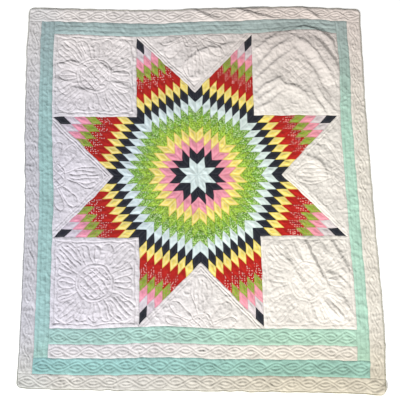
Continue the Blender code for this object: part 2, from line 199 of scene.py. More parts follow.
def fold_height(places):
    """Height to which the folds and creases lift each place on the cloth."""
    spots = places / DIAMOND
    lift = np.zeros(len(spots))
    creased = np.zeros(len(spots))
    for u0, v0, u1, v1, bow, width, crest in FOLDS:
        length = math.hypot(u1 - u0, v1 - v0)
        line = []
        for step in range(FOLD_STEPS + 1):
            t = step / FOLD_STEPS
            arch = 4 * t * (1 - t) * bow / length
            line.append((u0 + (u1 - u0) * t + (v0 - v1) * arch,
                         v0 + (v1 - v0) * t + (u1 - u0) * arch))
        within, near, share, _ = near_line(spots, line, FOLD_REACH * width)
        lift[within] += crest * np.exp(-(near / width) ** 2) * np.sin(np.pi * share) ** 0.5
    for width, height, *line in CREASES:
        within, near, share, side = near_line(spots, line, FOLD_REACH * width)
        off = near * side + CREST_BACK
        slope = np.where(off > 0, STEEP, width)
        fade = np.sin(np.pi * (RUN_OUT + (1 - 2 * RUN_OUT) * share)) ** 0.6
        creased[within] += height * np.exp(-(off / slope) ** 2) * fade
    return lift + creased * (1 - CREASE_LOSS * lift)


def drift(places, size, level):
    """Smooth uneven shift of each place, up to 1 each way, that turns over a size."""
    return np.array([(noise.noise((u / size, v / size, level)),
                      noise.noise((v / size, u / size, level + CROSS_LEVEL)))
                     for u, v in places])


def laid(places):
    """Where each place on the cut cloth comes to lie on the surface."""
    u, v = places.T
    a, b = u / HALF_SPAN, v / HALF_SPAN
    x = u + SKEW * v + SIDE_LEAN * b ** 3
    y = v + END_SLOPE * a ** 3 + FOOT_SLOPE * a * np.minimum(b, 0.0) ** 2
    for at_u, at_v, reach, pull_u, pull_v in PULLS:
        away = np.hypot(u / DIAMOND - at_u, v / DIAMOND - at_v)
        weight = DIAMOND * np.exp(-(away / reach) ** 2)
        x += pull_u * weight
        y += pull_v * weight
    x, y = np.array([x, y]) + SWAY * drift(places, SWAY_SIZE, SWAY_LEVEL).T
    return np.stack([x - MIDDLE[0], STRETCH * y - MIDDLE[1]], axis=1)


def pucker(places):
    """Height of the small waves at each place."""
    height = np.zeros(len(places))
    for size, rise, sharp in PUCKERS:
        waves = np.array([noise.noise((u / size, v / size, PUCKER_LEVEL)) for u, v in places])
        height += rise * (0.5 - 2 * np.abs(waves) if sharp else waves)
    return height


def face_relief(places, seams, lines, drawn=1.0, seam=SEAM):
    """Height of the face above the surface and depth of the shade painted into its colour,
    from the distance of each place to a seam and to a quilted line that is drawn down so much."""
    puff = 1 - np.exp(-seams / SEAM_REACH)
    stitched = STITCH[0] * np.exp(-(lines / STITCH[1]) ** 2)
    stitched += STITCH_SIDES[0] * np.exp(-lines / STITCH_SIDES[1])
    height = seam + (PUFF - seam - drawn * stitched) * puff
    height = height + pucker(places) * (SEAM_PUCKER + (1 - SEAM_PUCKER) * puff)
    shade = np.maximum(SEAM_DARK * np.exp(-(seams / STITCH_SHADE) ** 2),
                       STITCH_DARK * drawn * np.exp(-(lines / STITCH_SHADE) ** 2))
    return height, shade


def mesh_of(name, bm):
    """The mesh of a closed plan, and its points."""
    bmesh.ops.recalc_face_normals(bm, faces=bm.faces[:])
    mesh = bpy.data.meshes.new(name)
    bm.to_mesh(mesh)
    bm.free()
    at = np.empty(3 * len(mesh.vertices), dtype=np.float32)
    mesh.vertices.foreach_get("co", at)
    return mesh, at.reshape(-1, 3).astype(float)


def finish_piece(name, mesh, places, rise, shade, cloths):
    spread = np.column_stack([laid(places), rise])
    mesh.vertices.foreach_set("co", spread.astype(np.float32).ravel())
    grain = mesh.uv_layers.new(name="cloth")
    corners = np.empty(len(mesh.loops), dtype=np.int32)
    mesh.loops.foreach_get("vertex_index", corners)
    grain.data.foreach_set("uv", places[corners].astype(np.float32).ravel())
    # Depth of the painted shade at each point, below 0 where the pale quilting thread shows
    shade_and_thread = mesh.attributes.new("shade_and_thread", "FLOAT", "POINT")
    shade_and_thread.data.foreach_set("value", shade.astype(np.float32))
    mesh.shade_smooth()
    for cloth in cloths:
        mesh.materials.append(cloth)
    piece = bpy.data.objects.new("quilt_" + name, mesh)
    bpy.context.scene.collection.objects.link(piece)
    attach(piece, "root")
    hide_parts(name)
    return piece


def lay_piece(name, bm, face_of, cloths, lifted=False):
    """Make a sewn piece from a flat plan: close its back, raise its face and lay it out.

    face_of gives the height of the face and the depth of the shade painted into its colour at each
    place.
    """
    rim = [edge for edge in bm.edges if edge.is_boundary]
    for edge in rim:
        edge.smooth = False
    if lifted:
        made = bmesh.ops.extrude_face_region(bm, geom=bm.faces[:], use_keep_orig=True)
    else:
        made = bmesh.ops.extrude_edge_only(bm, edges=rim)
        edges = [item for item in made["geom"] if isinstance(item, bmesh.types.BMEdge)]
        bmesh.ops.edgeloop_fill(bm, edges=[edge for edge in edges if edge.is_boundary])
    lower = [item for item in made["geom"] if isinstance(item, bmesh.types.BMVert)]
    bmesh.ops.translate(bm, vec=(0, 0, -1), verts=lower)
    mesh, at = mesh_of(name, bm)
    places, under = at[:, :2], at[:, 2] < -0.5
    fold = fold_height(places)
    back = np.maximum(0.0, fold - CLOTH_UNDER_FOLD) if lifted else np.zeros(len(fold))
    height, shade = face_of(places)
    rise = np.where(under, back, np.maximum(height + fold, back + THIN))
    return finish_piece(name, mesh, places, rise, shade, cloths)


def linear(red, green, blue):
    """A colour of the cloth, given in steps of 0 to 255 as dyed, as the shader wants it."""
    values = [step / 255 for step in (red, green, blue)]
    return tuple(v / 12.92 if v <= 0.04045 else ((v + 0.055) / 1.055) ** 2.4 for v in values)


class Socket:
    """An output of a shader node. Sums and products of it add Math nodes."""

    def __init__(self, finish, link):
        self.finish = finish
        self.link = link

    def math(self, operation, *values):
        return self.finish.node("ShaderNodeMath", {"operation": operation}, values)

    def __add__(self, other):
        return self.math("ADD", self, other)

    def __mul__(self, other):
        return self.math("MULTIPLY", self, other)


class Finish:
    """The material of one cloth."""

    def __init__(self, name, roughness=0.92, sheen=0.12):
        self.material = bpy.data.materials.new(name)
        self.material.use_nodes = True
        self.tree = self.material.node_tree
        self.shader = self.tree.nodes["Principled BSDF"]
        self.shader.inputs["Roughness"].default_value = roughness
        self.shader.inputs["Metallic"].default_value = 0.0
        self.shader.inputs["Specular IOR Level"].default_value = 0.2
        self.shader.inputs["Sheen Weight"].default_value = sheen

    def node(self, kind, settings, values, output=0):
        """Add a node, set it up and feed its inputs, by place or by name."""
        made = self.tree.nodes.new(kind)
        for key, value in settings.items():
            setattr(made, key, value)
        pairs = values.items() if isinstance(values, dict) else enumerate(values)
        for key, value in pairs:
            if isinstance(value, Socket):
                self.tree.links.new(value.link, made.inputs[key])
            else:
                made.inputs[key].default_value = value
        return Socket(self, made.outputs[output])

    def mix(self, share, first, second, blend="MIX"):
        """One colour laid over another by a share."""
        settings = {"data_type": "RGBA", "blend_type": blend}
        colours = [colour if isinstance(colour, Socket) else (*colour, 1.0)
                   for colour in (first, second)]
        return self.node("ShaderNodeMix", settings, {0: share, 6: colours[0], 7: colours[1]}, 2)

    def ramp(self, value, low, high):
        """Value brought to 0 at low and 1 at high."""
        return self.node("ShaderNodeMapRange", {"interpolation_type": "SMOOTHSTEP"},
                         {"Value": value, "From Min": low, "From Max": high})

    def clouds(self, place, scale, detail, roughness):
        """Noise over the cloth."""
        return self.node("ShaderNodeTexNoise", {}, {"Vector": place, "Scale": scale,
                                                    "Detail": detail, "Roughness": roughness})

    def feed(self, name, value):
        self.tree.links.new(value.link, self.shader.inputs[name])


# Painted light and shade over the quilt as it lies: cooler at the left, warmer at the right,
# greyer at the head, and darker towards the foot and the left edge
WHITE = (1.0, 1.0, 1.0)
COOL_LIGHT_TINT = linear(226, 226, 240)
WARM_LIGHT_TINT = linear(252, 250, 243)
HEAD_LEFT_SHADE = linear(245, 242, 243)
HEAD_RIGHT_SHADE = linear(226, 218, 215)
FOOT_LEFT = linear(226, 227, 226)
FOOT_RIGHT = linear(229, 224, 208)
LEFT_EDGE = linear(240, 244, 247)
# Painted shade laid into the colour along seams and stitching
SEAM_SHADE_TONE = linear(176, 166, 160)
FADED_TONE = linear(238, 238, 238)
THREAD = linear(238, 236, 230)          # quilting thread, where it shows on a coloured cotton

# Where over the quilt a painted shift starts and where it is full, in metres
SIDE_RAMP = (-0.90, 0.60)
FAR_RAMP = (-0.50, 0.60)
HEAD_RAMP = (0.20, 1.25)
FOOT_RAMP = (-0.72, -1.12)
EDGE_RAMP = (-0.78, -0.96)

# Scale, detail and roughness of the faded blotches, the fine crinkles and a mottled ground
BLOTCHES = (9.0, 3.0, 0.60)
CRINKLES = (120.0, 3.0, 0.65)
MOTTLE = (125.0, 2.0, 0.70)
BLOTCH_RAMP = (0.30, 0.70)
MOTTLE_RAMP = (0.42, 0.58)
SPOT_EDGE = 0.6                         # share of a printed spot's width that is full

WEAVE_PITCH = 0.0011                    # width of two threads of the cotton
WAVE_SCALE = 0.314                      # scale of a wave texture that repeats once a metre
WEAVE_SHARE = 0.12                      # height of the weave beside that of the crinkles
RELIEF = 0.0012                         # height of the crinkles


def cotton(name, colour, pattern=None, seam_shade_strength=0.22, thread=0.0, head=(HEAD_LEFT_SHADE, HEAD_RIGHT_SHADE)):
    """Washed quilting cotton: plain weave, fine puckers, painted shade along the seams and
    the stitching, painted light and shade over the quilt as it lies, and paler by a share of
    the thread where the shade attribute is below 0."""
    cloth = Finish(name)
    place = cloth.node("ShaderNodeTexCoord", {}, (), 3)
    across = cloth.node("ShaderNodeSeparateXYZ", {}, (place,), 0)
    along = cloth.node("ShaderNodeSeparateXYZ", {}, (place,), 1)
    shade = colour if pattern is None else pattern(cloth, place, colour)
    blotch = cloth.ramp(cloth.clouds(place, *BLOTCHES), *BLOTCH_RAMP)
    faded = cloth.mix(1.0, shade, cloth.mix(blotch, FADED_TONE, WHITE), "MULTIPLY")
    # Painted light and shade over the quilt as it lies, multiplied into the cloth's colour
    far = cloth.ramp(across, *FAR_RAMP)
    painted_light = cloth.mix(cloth.ramp(across, *SIDE_RAMP), COOL_LIGHT_TINT, WARM_LIGHT_TINT)
    painted_light = cloth.mix(cloth.ramp(along, *HEAD_RAMP), painted_light, cloth.mix(far, *head))
    painted_light = cloth.mix(cloth.ramp(along, *FOOT_RAMP), painted_light, cloth.mix(far, FOOT_LEFT, FOOT_RIGHT))
    edge = cloth.mix(cloth.ramp(across, *EDGE_RAMP), WHITE, LEFT_EDGE)
    painted_light = cloth.mix(1.0, painted_light, edge, "MULTIPLY")
    toned = cloth.mix(1.0, faded, painted_light, "MULTIPLY")
    # Painted shade along seams and stitching; where the value is below 0, thread shows instead
    shade_and_thread = cloth.node("ShaderNodeAttribute", {"attribute_name": "shade_and_thread"}, (), 2)
    painted_seam_shade = shade_and_thread.math("MAXIMUM", shade_and_thread, 0.0) * seam_shade_strength
    base = cloth.mix(painted_seam_shade, toned, cloth.mix(1.0, toned, SEAM_SHADE_TONE, "MULTIPLY"))
    if thread:
        base = cloth.mix(shade_and_thread.math("MAXIMUM", shade_and_thread * -1.0, 0.0) * thread, base, THREAD)
    cloth.feed("Base Color", base)
    grain = cloth.node("ShaderNodeUVMap", {"uv_map": "cloth"}, ())
    wave = {"Vector": grain, "Scale": WAVE_SCALE / WEAVE_PITCH, "Distortion": 0.4,
            "Detail": 1.0, "Detail Scale": 40.0}
    warp = cloth.node("ShaderNodeTexWave", {"bands_direction": "X"}, wave, 1)
    weft = cloth.node("ShaderNodeTexWave", {"bands_direction": "Y"}, wave, 1)
    rise = warp * weft * WEAVE_SHARE + cloth.clouds(place, *CRINKLES)
    cloth.feed("Normal", cloth.node("ShaderNodeBump", {}, {"Strength": 0.6, "Distance": RELIEF,
                                                           "Height": rise}))
    return cloth.material


def speckled(size, spot, share, scatter, depth=0.0, kind="3D"):
    """A print of small spots on a ground that is mottled darker by a depth. Spots of the
    kind 2D are round dots; those of the kind 3D vary in size with the height of the cloth."""
    def pattern(cloth, place, colour):
        if depth:
            mottle = cloth.ramp(cloth.clouds(place, *MOTTLE), *MOTTLE_RAMP)
            dark = tuple(part * (1 - depth) for part in colour)
            colour = cloth.mix(mottle, dark, colour)
        cells = cloth.node("ShaderNodeTexVoronoi", {"voronoi_dimensions": kind},
                           {"Vector": place, "Scale": 1 / size, "Randomness": scatter})
        return cloth.mix(cloth.ramp(cells, share, share * SPOT_EDGE), colour, spot)
    return pattern


ROW_COTTONS = {
    "ice_blue": cotton("ice_blue_cotton", linear(203, 221, 221), thread=0.24),
    "pale_pink": cotton("pale_pink_cotton", linear(203, 196, 201), thread=0.16),
    "navy": cotton("navy_cotton", linear(24, 28, 40), thread=0.02),
    "pink": cotton("pink_cotton", linear(225, 143, 162), thread=0.12),
    "yellow": cotton("yellow_cotton", linear(230, 211, 104), thread=0.28),
    "green": cotton("green_cotton", linear(160, 204, 58),
                    speckled(0.0075, linear(214, 230, 150), 0.30, 1.0, 0.58), 0.30, 0.06),
    "green_print": cotton("green_print_cotton", linear(130, 186, 62),
                          speckled(0.0075, linear(220, 236, 190), 0.40, 1.0, 0.60), 0.30, 0.06),
    "red": cotton("red_cotton", linear(174, 26, 18)),
    "red_dot": cotton("red_pin_dot_cotton", linear(170, 20, 14),
                      speckled(0.0140, linear(255, 240, 232), 0.21, 0.55, kind="2D")),
    "olive": cotton("olive_cotton", linear(134, 162, 44),
                    speckled(0.0110, linear(168, 140, 88), 0.48, 1.0), thread=0.06),
}

# Cloth of each row of diamonds, from the middle of the star to the tip
ROW_ORDER = ("ice_blue", "navy", "pink", "yellow", "green", "green_print", "ice_blue", "navy",
             "yellow", "red", "red_dot", "olive", "pink", "pale_pink", "navy")
ECHO = 0.0085                           # echo line, in from the seams
ECHO_DEPTH = 0.0014
ECHO_WIDTH = 0.0026

names = list(ROW_COTTONS)
for number in range(POINTS):
    bm = bmesh.new()
    steps = ROWS * CELL_STEPS
    bmesh.ops.create_grid(bm, x_segments=steps, y_segments=steps, size=0.5)
    for face in bm.faces:
        a, b = face.calc_center_median().xy
        row = int((a + 0.5) * ROWS) + int((b + 0.5) * ROWS)
        face.material_index = names.index(ROW_ORDER[row])
    first = SLANT * number
    second = first + SLANT
    cut = HALF_GAP / math.sin(SLANT)
    lattice = Matrix(((math.cos(first), math.cos(second)), (math.sin(first), math.sin(second))))
    shear = lattice.to_4x4() @ Matrix.Scale(EDGE - 2 * cut, 4)
    shear @= Matrix.Translation((0.5 + cut / EDGE, 0.5 + cut / EDGE, 0))
    bmesh.ops.transform(bm, matrix=shear, verts=bm.verts[:])

    def star_face(places):
        spots = places @ np.array(lattice.inverted()).T / DIAMOND
        away = np.abs(spots - np.round(spots)).min(axis=1) * DIAMOND * math.sin(SLANT)
        echo = np.exp(-((away - ECHO) / ECHO_WIDTH) ** 2)
        height, shade = face_relief(places, away, np.inf, seam=STAR_SEAM)
        return height - ECHO_DEPTH * echo, shade - echo

    piece = lay_piece("star_point_%d" % (number + 1), bm, star_face,
                      [ROW_COTTONS[name] for name in names])

# The white field: corner squares set between the star points, of washed white cotton.
# Each is quilted by hand with a round sunflower: a crosshatched middle and sixteen petals.
NEAR = EDGE * math.sqrt(0.5)            # inner edges of the squares, from the star's middle
TIP = NEAR + EDGE                       # tips of the star
FIELD_LEFT = TIP + 0.009                # outer edges of the white field
FIELD_RIGHT = TIP + 0.022
FIELD_END = TIP + 0.012
MESH_STEP = 0.0028
LIFTED_STEP = 0.0032                    # of a piece that a fold lifts, which has a back as well
HEART = 1.45                            # radius of the crosshatched middle, in diamonds
RING = 1.75                             # radius of the line round it
HATCH = 0.50                            # from one crossing line to the next
ROUND_STEPS = 40
FRAME_INSET = 0.36                      # line along the seams of a square, in diamonds
PETAL_END = 3.42                        # from the middle to the scalloped ends, in diamonds
BROAD = 0.66                            # where along a petal its rounded end starts
PETAL_STEPS = 14
RIB_TRIM = (0.08, 0.22)                 # line along a petal, short of its ends, and more at a side
LINE_REACH = 0.5                        # reach of the stitching into the cloth, in diamonds
WANDER = 0.16                           # how far a line quilted by hand strays, in diamonds
WANDER_SIZE = 0.9                       # length over which it does so

# Petals: half width in diamonds, lines along it, where it comes out, and its width there
SIDE_PETAL = (0.50, 1, RING, 0.45)
HIDDEN_PETAL = (0.62, 1, 2.35, 0.80)
CORNER_PETAL = (0.98, 4, RING, 0.50)
PETALS = (SIDE_PETAL, HIDDEN_PETAL, CORNER_PETAL, HIDDEN_PETAL) * 4

white_cotton = cotton("white_cotton", linear(220, 217, 215), seam_shade_strength=0.25)


def quilted(places, lines, wander=WANDER):
    """Distance from each place to the nearest of the quilted lines, given in diamonds."""
    spots = places / DIAMOND
    spots = spots + wander * drift(spots, WANDER_SIZE, WANDER_LEVEL)
    away = np.full(len(places), np.inf)
    for line in lines:
        within, near, _, _ = near_line(spots, line, LINE_REACH)
        away[within] = np.minimum(away[within], near * DIAMOND)
    return away


def arc(centre, radius, start, end, steps):
    """Points of a round line, with its angles in degrees."""
    angles = [math.radians(start + (end - start) * step / steps) for step in range(steps + 1)]
    return [(centre[0] + radius * math.cos(a), centre[1] + radius * math.sin(a)) for a in angles]


def hatch(centre, radius, spacing):
    """Crossing lines inside a circle, at 45 degrees to the piece."""
    lines = []
    for turn in (45, 135):
        e = (math.cos(math.radians(turn)), math.sin(math.radians(turn)))
        count = int(radius / spacing)
        for index in range(-count, count + 1):
            off = index * spacing
            half = math.sqrt(radius ** 2 - off ** 2)
            ends = []
            for side in (-half, half):
                ends.append((centre[0] + e[0] * side - e[1] * off,
                             centre[1] + e[1] * side + e[0] * off))
            lines.append(ends)
    return lines


def petal(centre, angle, start, end, half, ribs, base=0.30):
    """Outline of a petal that points away from a centre, and the lines along it."""
    turn = math.radians(angle)
    e, n = (math.cos(turn), math.sin(turn)), (-math.sin(turn), math.cos(turn))
    lines = []
    for side in (-1, 1):
        line = []
        for step in range(PETAL_STEPS + 1):
            t = 1 - (1 - step / PETAL_STEPS) ** 2
            reach = start + (end - start) * t
            wide = side * half * (base + (1 - base) * math.sin(math.pi / 2 * min(1, t / BROAD)))
            if t > BROAD:
                wide *= math.sqrt(max(0.0, 1 - ((t - BROAD) / (1 - BROAD)) ** 2))
            line.append((centre[0] + e[0] * reach + n[0] * wide,
                         centre[1] + e[1] * reach + n[1] * wide))
        lines.append(line)
    for index in range(ribs):
        off = half * 2 * ((index + 1) / (ribs + 1) - 0.5)
        trim = RIB_TRIM[0] + RIB_TRIM[1] * abs(off) / half
        line = []
        for reach in (start + (end - start) * trim, end - (end - start) * trim):
            line.append((centre[0] + e[0] * reach + n[0] * off,
                         centre[1] + e[1] * reach + n[1] * off))
        lines.append(line)
    return lines


def edge_distance(places, low_u, high_u, low_v, high_v):
    """Distance from each place to the nearest edge of a rectangle."""
    u, v = places.T
    return np.minimum(np.minimum(u - low_u, high_u - u), np.minimum(v - low_v, high_v - v))


def grid_plan(low_u, high_u, low_v, high_v, step):
    """Flat grid over a rectangle, cut a half gap small on every side."""
    bm = bmesh.new()
    wide, long = high_u - low_u - 2 * HALF_GAP, high_v - low_v - 2 * HALF_GAP
    bmesh.ops.create_grid(bm, x_segments=round(wide / step), y_segments=round(long / step),
                          size=0.5)
    bmesh.ops.scale(bm, vec=(wide, long, 1), verts=bm.verts[:])
    bmesh.ops.translate(bm, vec=((low_u + high_u) / 2, (low_v + high_v) / 2, 0),
                        verts=bm.verts[:])
    return bm


# Corner squares: side, end, whether the cloth is lifted, and how far the stitching draws
# down the middle and the petals
CORNERS = (
    (1, 1, True, 0.70, 0.24),
    (-1, 1, False, 0.85, 0.80),
    (-1, -1, False, 0.95, 0.95),
    (1, -1, True, 0.60, 0.56),
)
for number, (across, upward, lifted, heart_drawn, petal_drawn) in enumerate(CORNERS):
    field = FIELD_RIGHT if across > 0 else FIELD_LEFT
    low_u, high_u = sorted((across * NEAR, across * field))
    low_v, high_v = sorted((upward * NEAR, upward * FIELD_END))
    bm = grid_plan(low_u, high_u, low_v, high_v, LIFTED_STEP if lifted else MESH_STEP)
    centre = ((low_u + high_u) / 2 / DIAMOND, (low_v + high_v) / 2 / DIAMOND)
    heart = hatch(centre, HEART, HATCH)
    lines = [arc(centre, radius, 0, 360, ROUND_STEPS) for radius in (HEART, RING)]
    for index, (half, ribs, start, base) in enumerate(PETALS):
        angle = index * 360 / len(PETALS)
        lean = math.radians(abs((angle + 45) % 90 - 45))
        lines += petal(centre, angle, start, PETAL_END / math.cos(lean), half, ribs, base)
    u0, u1 = low_u / DIAMOND + FRAME_INSET, high_u / DIAMOND - FRAME_INSET
    v0, v1 = low_v / DIAMOND + FRAME_INSET, high_v / DIAMOND - FRAME_INSET
    lines.append([(u0, v0), (u1, v0), (u1, v1), (u0, v1), (u0, v0)])

    def square_face(places):
        edge = edge_distance(places, low_u, high_u, low_v, high_v)
        middle, rays = quilted(places, heart), quilted(places, lines)
        drawn = np.where(middle < rays, heart_drawn, petal_drawn)
        return face_relief(places, edge, np.minimum(middle, rays), drawn)

    piece = lay_piece("corner_square_%d" % (number + 1), bm, square_face,
                      [white_cotton], lifted)
    high_u - low_u
    high_v - low_v

# The side triangles: white cotton set between two points of the star at each side.
# Each is quilted with half a sunflower on its long side and two lines beside the star.
BESIDE = (0.0150, 0.0295)               # the two lines beside the star, in from its seam
CLEAR = 1.2 * BESIDE[1]                 # from the seam to the sunflower
CUT_SNAP = 0.0002                       # points this near to the cut lie on it
HALF_HEART = 1.25                       # radius of the half sunflower's middle, in diamonds

# Its petals: angle in degrees, end and half width in diamonds, and lines along it
HALF_PETALS = (
    (180, 4.75, 0.95, 4),
    (128, 3.60, 0.52, 0),
    (232, 3.60, 0.52, 0),
    (103, 3.30, 0.40, 0),
    (257, 3.30, 0.40, 0),
)

# Side triangles: outer edge, whether the cloth is lifted, and how far the stitching draws it
SIDES = (
    (FIELD_RIGHT, True, 0.60),
    (FIELD_END, True, 0.82),
    (FIELD_LEFT, False, 1.00),
    (FIELD_END, False, 0.85),
)
for turns, (field, lifted, drawn) in enumerate(SIDES):
    bm = grid_plan(EDGE, field, -NEAR, NEAR, LIFTED_STEP if lifted else MESH_STEP)
    for side in (-1, 1):
        tilt = Vector((-math.sin(SLANT), side * math.cos(SLANT), 0))
        bmesh.ops.bisect_plane(
            bm, geom=bm.verts[:] + bm.edges[:] + bm.faces[:], dist=CUT_SNAP,
            plane_co=(EDGE + HALF_GAP * math.sqrt(2), 0, 0), plane_no=tilt, clear_outer=True)
    base = (field / DIAMOND, 0.0)
    lines = [arc(base, HALF_HEART, 90, 270, ROUND_STEPS // 2), *hatch(base, HALF_HEART, HATCH)]
    for angle, end, half, ribs in HALF_PETALS:
        lines += petal(base, angle, HALF_HEART, end, half, ribs)
    turn = Matrix.Rotation(turns * math.pi / 2, 3, "Z")
    bmesh.ops.rotate(bm, cent=(0, 0, 0), verts=bm.verts[:], matrix=turn)

    def triangle_face(places):
        straight = places @ np.array(turn.to_2x2())
        u, v = straight.T
        legs = (u - EDGE - np.abs(v)) * math.sqrt(0.5)
        seams = np.maximum(np.minimum(legs, field - u), 0.0)
        away = np.where(legs > CLEAR, quilted(straight, lines), np.inf)
        for inset in BESIDE:
            away = np.minimum(away, np.abs(legs - inset))
        return face_relief(places, seams, away, drawn)

    piece = lay_piece("side_triangle_%d" % (turns + 1), bm, triangle_face,
                      [white_cotton], lifted)
    field - EDGE
    2 * NEAR
    (field - EDGE) ** 2 - (field - TIP) ** 2

# The mint strips around the field: plain mint cotton, quilted in lines along their length
# at the top and sides, and in a cable at the foot, where a white strip lies between two.
MINT_LEFT = FIELD_LEFT + 0.0813         # outer edges of the mint, then those of the foot strips
MINT_RIGHT = FIELD_RIGHT + 0.070
MINT_TOP = FIELD_END + 0.0813
FOOT_1 = -FIELD_END - 0.0889
FOOT_2 = FOOT_1 - 0.0762
FOOT_3 = FOOT_2 - 0.0889
STRIP_STEP = 0.0038
CABLE_PITCH = 1.47                      # length of one eye of the cable, in diamonds
CABLE_SWING = 0.31                      # how far a strand swings from the middle
CABLE_STRAND = 0.135                    # half width of a strand
CABLE_COVER = 0.9 * CABLE_STRAND        # half width in which a strand hides the one under it
CABLE_ENDS = 0.15                       # from the end of the strip to the cable
CABLE_STEPS = 8                         # points of the line along one eye
CABLE_DRAWN = 0.95
CABLE_WANDER = 0.08
MINT_LINES = (-0.24, 0.22)              # lines along a plain strip, off its middle
LINES_DRAWN = 0.62
CORNER_RADIUS = 0.035                   # rounded corner of the whole quilt
BINDING_WIDTH = 0.007
INNER_RADIUS = CORNER_RADIUS - BINDING_WIDTH

# Painted shade of the mint towards the head, more at the right
MINT_HEAD_SHADE = (linear(232, 212, 228), linear(230, 202, 215))
mint_cotton = cotton("mint_cotton", linear(166, 203, 190), seam_shade_strength=0.25, head=MINT_HEAD_SHADE)
foot_mint_cotton = cotton("foot_mint_cotton", linear(151, 196, 192), seam_shade_strength=0.25)


def cable(start, end, middle):
    """Two strands that wind round each other, with a line on both sides of each."""
    lines = []
    eyes = max(1, round((end - start) / CABLE_PITCH))
    count = eyes * CABLE_STEPS
    for strand in (-1, 1):
        for side in (-1, 1):
            line = []
            for step in range(count + 1):
                wave = CABLE_SWING * math.sin(math.pi * (step / count * eyes))
                hidden = abs(2 * wave + side * strand * CABLE_STRAND) < CABLE_COVER
                if strand > 0 or not hidden:
                    line.append((start + (end - start) * step / count,
                                 middle + strand * wave + side * CABLE_STRAND))
                else:
                    lines.append(line)
                    line = []
            lines.append(line)
    return [line for line in lines if len(line) > 1]


def lines_along(low_u, high_u, low_v, high_v, upright, offsets=()):
    """Straight lines along a strip at some offsets from its middle, or a cable for none."""
    if upright:
        low_u, high_u, low_v, high_v = low_v, high_v, low_u, high_u
    start, end, middle = low_u / DIAMOND, high_u / DIAMOND, (low_v + high_v) / 2 / DIAMOND
    if offsets:
        lines = [[(start, middle + offset), (end, middle + offset)] for offset in offsets]
    else:
        lines = cable(start + CABLE_ENDS, end - CABLE_ENDS, middle)
    return [[(b, a) for a, b in line] for line in lines] if upright else lines


def round_corners(bm, low_u, high_u, low_v, high_v, name):
    """Round the outer corners of the top and foot borders for the binding."""
    sign = {"border_top": 1, "border_foot": -1}.get(name)
    if sign is None:
        return
    edge = high_v if sign > 0 else low_v
    for vert in bm.verts:
        for side, end in ((-1, low_u), (1, high_u)):
            x = (vert.co.x - end) * side / INNER_RADIUS + 1
            y = (vert.co.y - edge) * sign / INNER_RADIUS + 1
            if x > 0 and y > 0:
                vert.co.x = end + side * INNER_RADIUS * (x * math.sqrt(1 - y * y / 2) - 1)
                vert.co.y = edge + sign * INNER_RADIUS * (y * math.sqrt(1 - x * x / 2) - 1)


def strip(name, low_u, high_u, low_v, high_v, cloth, lines, drawn=CABLE_DRAWN):
    """Long strip with its quilted lines, given in diamonds as (u, v)."""
    bm = grid_plan(low_u, high_u, low_v, high_v, STRIP_STEP)
    round_corners(bm, low_u, high_u, low_v, high_v, name)

    def strip_face(places):
        edge = edge_distance(places, low_u, high_u, low_v, high_v)
        away = quilted(places, lines, CABLE_WANDER)
        return face_relief(places, np.maximum(edge, 0.0), away, drawn)

    return lay_piece(name, bm, strip_face, [cloth])


def declare_strip(piece, low_u, high_u, low_v, high_v, sewn_on=()):
    """Work out the sizes a strip is cut to, and keep none of them; piece and sewn_on are not used.
    """
    high_u - low_u
    high_v - low_v


PLAIN_MINTS = (
    ("mint_top", -FIELD_LEFT, FIELD_RIGHT, FIELD_END, MINT_TOP, False),
    ("mint_left", -MINT_LEFT, -FIELD_LEFT, FOOT_2, MINT_TOP, True),
    ("mint_right", FIELD_RIGHT, MINT_RIGHT, FOOT_2, MINT_TOP, True),
)
for name, low_u, high_u, low_v, high_v, upright in PLAIN_MINTS:
    lines = lines_along(low_u, high_u, low_v, high_v, upright, MINT_LINES)
    piece = strip(name, low_u, high_u, low_v, high_v, mint_cotton, lines,
                  LINES_DRAWN)
    declare_strip(piece, low_u, high_u, low_v, high_v)

FOOT_STRIPS = (
    ("mint_foot_upper", -FIELD_LEFT, FIELD_RIGHT, FOOT_1, -FIELD_END, mint_cotton),
    ("white_foot_strip", -FIELD_LEFT, FIELD_RIGHT, FOOT_2, FOOT_1, white_cotton),
    ("mint_foot_lower", -MINT_LEFT, MINT_RIGHT, FOOT_3, FOOT_2, foot_mint_cotton),
)
for name, low_u, high_u, low_v, high_v, cloth in FOOT_STRIPS:
    lines = lines_along(low_u, high_u, low_v, high_v, False)
    piece = strip(name, low_u, high_u, low_v, high_v, cloth, lines)
    declare_strip(piece, low_u, high_u, low_v, high_v)

# The white border: four strips of the white cotton round the mint, quilted with the cable.
# The top and foot strips run the full width, and their outer corners are rounded.
BORDER_LEFT = MINT_LEFT + 0.0787
BORDER_RIGHT = MINT_RIGHT + 0.0838
BORDER_TOP = MINT_TOP + 0.0787
FOOT_BORDER = FOOT_3 - 0.0787
BORDERS = (
    ("border_left", -BORDER_LEFT, -MINT_LEFT, FOOT_3, MINT_TOP, True),
    ("border_right", MINT_RIGHT, BORDER_RIGHT, FOOT_3, MINT_TOP, True),
    ("border_top", -BORDER_LEFT, BORDER_RIGHT, MINT_TOP, BORDER_TOP, False),
    ("border_foot", -BORDER_LEFT, BORDER_RIGHT, FOOT_BORDER, FOOT_3, False),
)
# Painted shade of the border towards the head, more at the right; the border's cloth is the white
# cotton a little darker
BORDER_HEAD_SHADE = (linear(250, 248, 252), linear(245, 236, 234))
border_cotton = cotton("border_cotton", linear(214, 211, 206), seam_shade_strength=0.30, head=BORDER_HEAD_SHADE)
border_pieces = []
for name, low_u, high_u, low_v, high_v, upright in BORDERS:
    lines = lines_along(low_u, high_u, low_v, high_v, upright)
    border_pieces.append(strip(name, low_u, high_u, low_v, high_v,
                               border_cotton, lines))

